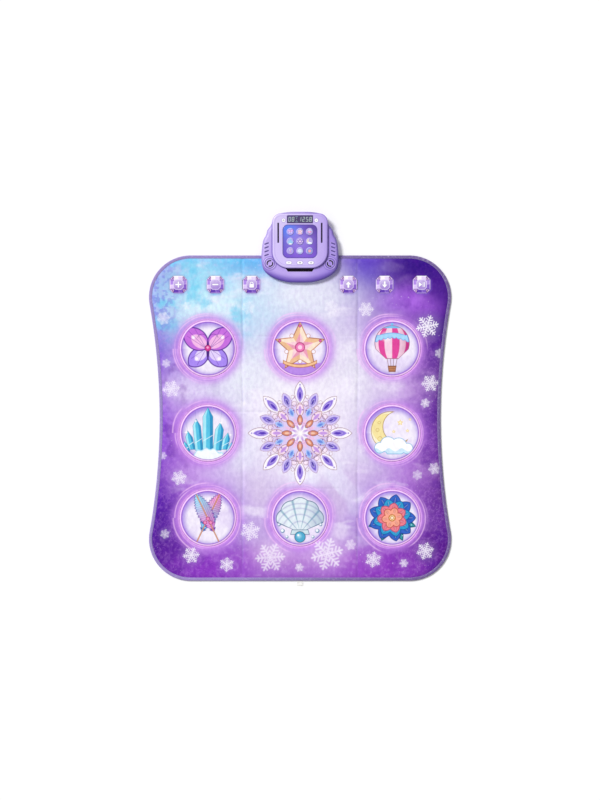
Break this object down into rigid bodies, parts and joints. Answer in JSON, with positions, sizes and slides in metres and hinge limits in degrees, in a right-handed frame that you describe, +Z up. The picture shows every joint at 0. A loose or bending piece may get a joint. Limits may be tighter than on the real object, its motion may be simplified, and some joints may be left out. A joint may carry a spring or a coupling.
{
  "type": "electronic dance mat",
  "caption": "Folding padded floor mat with round step pads, touch keys and a battery console clamped to its back edge.",
  "frame": {"origin": "on the floor, under the middle of the whole object's length and width, console and care label included", "axes": "+Z up from the floor, +Y towards the console, +X to the right of a player who faces the console"},
  "size_m": [0.8494, 1.051, 0.0372],
  "materials": {
    "printed_plush": "short printed plush on sponge, cyan to violet",
    "backing_cloth": "dark woven non-slip cloth with small rubber dots",
    "binding_tape": "grey-violet woven polyester tape, sewn",
    "spacer_foam": "white foam sheet",
    "sensor_film": "clear polyester film with printed silver tracks",
    "label_cloth": "white woven satin tape, bare",
    "console_shell": "satin lavender moulded plastic",
    "console_deck": "satin pale lavender moulded plastic",
    "button_white": "smooth white plastic",
    "display_lens": "smoked violet window, glossy",
    "icon_lens": "blue to violet printed window, glossy",
    "display_body": "black display module",
    "circuit_board": "green circuit board",
    "speaker_black": "black paper cone and steel basket",
    "keypad_rubber": "white silicone rubber",
    "cell_jacket": "plain grey cell sleeve",
    "screw_steel": "zinc-plated steel"
  },
  "bodies": {
    "middle_panel": {"backing_middle": "backing_cloth", "lower_film_middle": "sensor_film", "spacer_middle": "spacer_foam", "upper_film_middle": "sensor_film", "cover_middle": "printed_plush", "binding_front": "binding_tape", "binding_back": "binding_tape", "care_label": "label_cloth", "console_bottom_shell": "console_shell", "mat_clamp_plate": "console_shell", "console_top_shell": "console_shell", "deck_cover": "console_deck", "clamp_screw_left": "screw_steel", "clamp_screw_right": "screw_steel", "speaker_left": "speaker_black", "speaker_right": "speaker_black", "display_window": "display_lens", "icon_window": "icon_lens", "display_module": "display_body", "control_board": "circuit_board", "amplifier_board": "circuit_board", "keypad_strip": "keypad_rubber", "battery_cell_1": "cell_jacket", "battery_cell_2": "cell_jacket", "battery_cell_3": "cell_jacket", "ribbon_tail": "sensor_film"},
    "left_panel": {"backing_left": "backing_cloth", "lower_film_left": "sensor_film", "spacer_left": "spacer_foam", "upper_film_left": "sensor_film", "cover_left": "printed_plush", "binding_left": "binding_tape"},
    "right_panel": {"backing_right": "backing_cloth", "lower_film_right": "sensor_film", "spacer_right": "spacer_foam", "upper_film_right": "sensor_film", "cover_right": "printed_plush", "binding_right": "binding_tape"},
    "pad_front_left": {"step_pad_front_left": "printed_plush"},
    "pad_front_middle": {"step_pad_front_middle": "printed_plush"},
    "pad_front_right": {"step_pad_front_right": "printed_plush"},
    "pad_centre_left": {"step_pad_centre_left": "printed_plush"},
    "pad_centre_middle": {"step_pad_centre_middle": "printed_plush"},
    "pad_centre_right": {"step_pad_centre_right": "printed_plush"},
    "pad_back_left": {"step_pad_back_left": "printed_plush"},
    "pad_back_middle": {"step_pad_back_middle": "printed_plush"},
    "pad_back_right": {"step_pad_back_right": "printed_plush"},
    "key_plus": {"touch_key_plus": "printed_plush"},
    "key_minus": {"touch_key_minus": "printed_plush"},
    "key_lock": {"touch_key_lock": "printed_plush"},
    "key_up": {"touch_key_up": "printed_plush"},
    "key_down": {"touch_key_down": "printed_plush"},
    "key_play": {"touch_key_play": "printed_plush"},
    "button_power": {"power_button": "button_white"},
    "button_mode": {"mode_button": "button_white"},
    "button_volume_down": {"volume_down_button": "button_white"},
    "button_song": {"song_button": "button_white"},
    "button_volume_up": {"volume_up_button": "button_white"},
    "battery_hatch": {"battery_door": "console_shell", "battery_door_screw": "screw_steel"}
  },
  "joints": [
    {"name": "fold_left", "type": "hinge", "parent": "middle_panel", "child": "left_panel", "pos_m": [-0.162, 0, -0.0078], "axis": [0, -1, 0], "range_deg": [0, 179]},
    {"name": "fold_right", "type": "hinge", "parent": "middle_panel", "child": "right_panel", "pos_m": [0.162, 0, -0.0005], "axis": [0, 1, 0], "range_deg": [0, 179]},
    {"name": "press_front_left", "type": "slide", "parent": "left_panel", "child": "pad_front_left", "axis": [0, 0, -1], "range_m": [0, 0.0016], "stiffness_N_per_m": 9000, "springref_m": -0.0001},
    {"name": "press_front_middle", "type": "slide", "parent": "middle_panel", "child": "pad_front_middle", "axis": [0, 0, -1], "range_m": [0, 0.0016], "stiffness_N_per_m": 9000, "springref_m": -0.0001},
    {"name": "press_front_right", "type": "slide", "parent": "right_panel", "child": "pad_front_right", "axis": [0, 0, -1], "range_m": [0, 0.0016], "stiffness_N_per_m": 9000, "springref_m": -0.0001},
    {"name": "press_centre_left", "type": "slide", "parent": "left_panel", "child": "pad_centre_left", "axis": [0, 0, -1], "range_m": [0, 0.0016], "stiffness_N_per_m": 9000, "springref_m": -0.0001},
    {"name": "press_centre_middle", "type": "slide", "parent": "middle_panel", "child": "pad_centre_middle", "axis": [0, 0, -1], "range_m": [0, 0.0016], "stiffness_N_per_m": 9000, "springref_m": -0.0001},
    {"name": "press_centre_right", "type": "slide", "parent": "right_panel", "child": "pad_centre_right", "axis": [0, 0, -1], "range_m": [0, 0.0016], "stiffness_N_per_m": 9000, "springref_m": -0.0001},
    {"name": "press_back_left", "type": "slide", "parent": "left_panel", "child": "pad_back_left", "axis": [0, 0, -1], "range_m": [0, 0.0016], "stiffness_N_per_m": 9000, "springref_m": -0.0001},
    {"name": "press_back_middle", "type": "slide", "parent": "middle_panel", "child": "pad_back_middle", "axis": [0, 0, -1], "range_m": [0, 0.0016], "stiffness_N_per_m": 9000, "springref_m": -0.0001},
    {"name": "press_back_right", "type": "slide", "parent": "right_panel", "child": "pad_back_right", "axis": [0, 0, -1], "range_m": [0, 0.0016], "stiffness_N_per_m": 9000, "springref_m": -0.0001},
    {"name": "press_plus", "type": "slide", "parent": "left_panel", "child": "key_plus", "axis": [0, 0, -1], "range_m": [0, 0.0016], "stiffness_N_per_m": 2500, "springref_m": -0.0001},
    {"name": "press_minus", "type": "slide", "parent": "left_panel", "child": "key_minus", "axis": [0, 0, -1], "range_m": [0, 0.0016], "stiffness_N_per_m": 2500, "springref_m": -0.0001},
    {"name": "press_lock", "type": "slide", "parent": "middle_panel", "child": "key_lock", "axis": [0, 0, -1], "range_m": [0, 0.0016], "stiffness_N_per_m": 2500, "springref_m": -0.0001},
    {"name": "press_up", "type": "slide", "parent": "middle_panel", "child": "key_up", "axis": [0, 0, -1], "range_m": [0, 0.0016], "stiffness_N_per_m": 2500, "springref_m": -0.0001},
    {"name": "press_down", "type": "slide", "parent": "right_panel", "child": "key_down", "axis": [0, 0, -1], "range_m": [0, 0.0016], "stiffness_N_per_m": 2500, "springref_m": -0.0001},
    {"name": "press_play", "type": "slide", "parent": "right_panel", "child": "key_play", "axis": [0, 0, -1], "range_m": [0, 0.0016], "stiffness_N_per_m": 2500, "springref_m": -0.0001},
    {"name": "press_power", "type": "slide", "parent": "middle_panel", "child": "button_power", "axis": [0, 0, -1], "range_m": [0, 0.0008], "stiffness_N_per_m": 600, "springref_m": -0.0002},
    {"name": "press_mode", "type": "slide", "parent": "middle_panel", "child": "button_mode", "axis": [0, 0, -1], "range_m": [0, 0.0008], "stiffness_N_per_m": 600, "springref_m": -0.0002},
    {"name": "press_volume_down", "type": "slide", "parent": "middle_panel", "child": "button_volume_down", "axis": [0, 0, -1], "range_m": [0, 0.0008], "stiffness_N_per_m": 600, "springref_m": -0.0002},
    {"name": "press_song", "type": "slide", "parent": "middle_panel", "child": "button_song", "axis": [0, 0, -1], "range_m": [0, 0.0008], "stiffness_N_per_m": 600, "springref_m": -0.0002},
    {"name": "press_volume_up", "type": "slide", "parent": "middle_panel", "child": "button_volume_up", "axis": [0, 0, -1], "range_m": [0, 0.0008], "stiffness_N_per_m": 600, "springref_m": -0.0002},
    {"name": "hatch_off", "type": "slide", "parent": "middle_panel", "child": "battery_hatch", "axis": [0, 0, -1], "range_m": [0, 0.03]}
  ]
}
